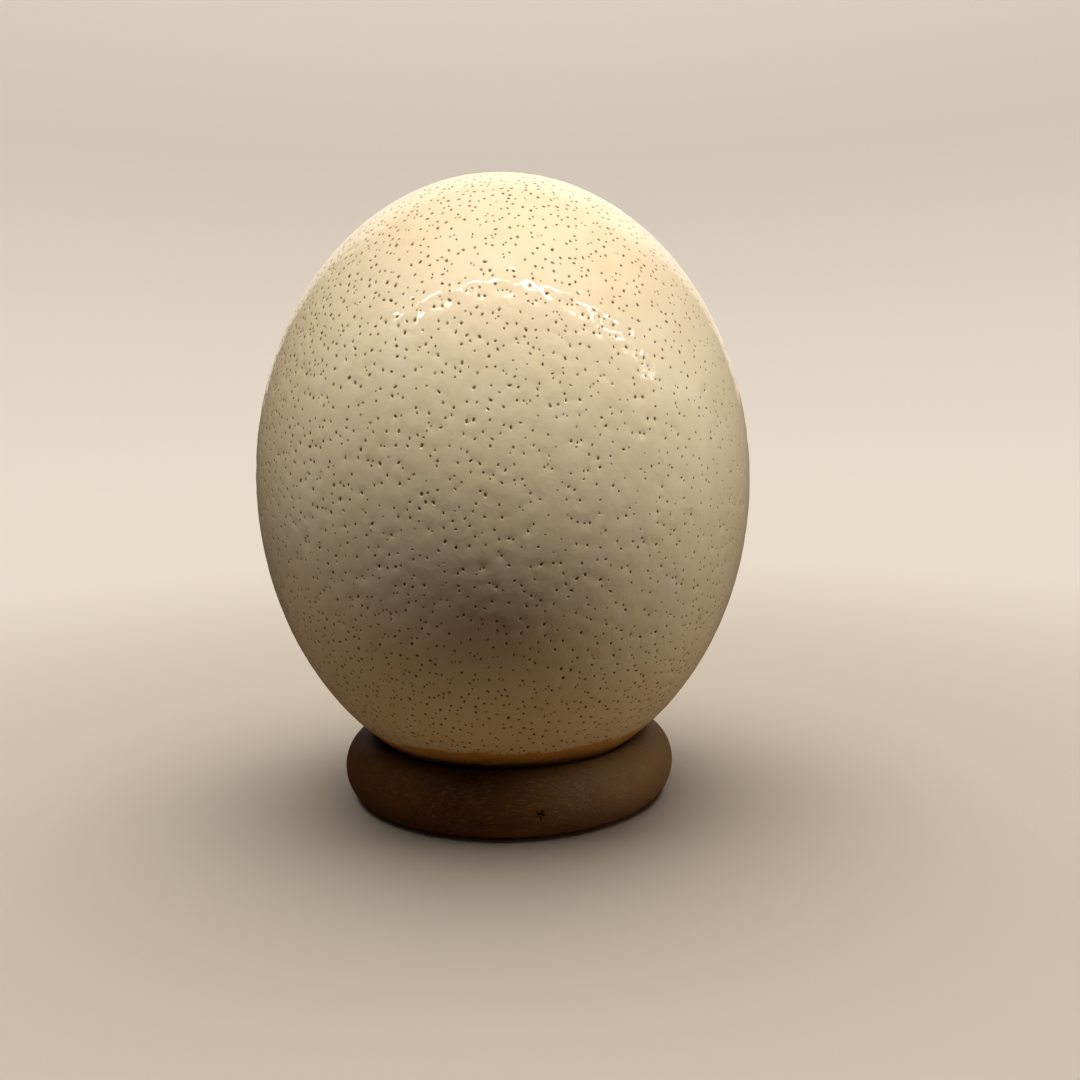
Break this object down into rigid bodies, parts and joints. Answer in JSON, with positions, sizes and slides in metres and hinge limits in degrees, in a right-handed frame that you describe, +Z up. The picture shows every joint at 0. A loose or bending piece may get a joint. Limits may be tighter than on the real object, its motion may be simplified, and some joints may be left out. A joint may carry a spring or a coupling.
{
  "type": "ostrich egg on a ring stand",
  "caption": "Whole ostrich egg, cream and finely pitted, standing upright in a plain turned wooden ring that it can be lifted out of.",
  "frame": {"origin": "on the surface that the ring stands on, at the middle of the ring's foot, straight under the egg", "axes": "+Z up along the egg's long axis, +X to the right and +Y away when the side that is looked at faces the viewer"},
  "size_m": [0.127, 0.127, 0.16],
  "materials": {
    "eggshell": "cream ostrich eggshell with a satin gloss, shallow dimples and small dark brown pores",
    "dark_wood": "dark brown turned hardwood, satin, fine grain with a few small pores and one tiny pit"
  },
  "bodies": {
    "root": {"egg": "eggshell", "ring_stand": "dark_wood"}
  },
  "joints": []
}
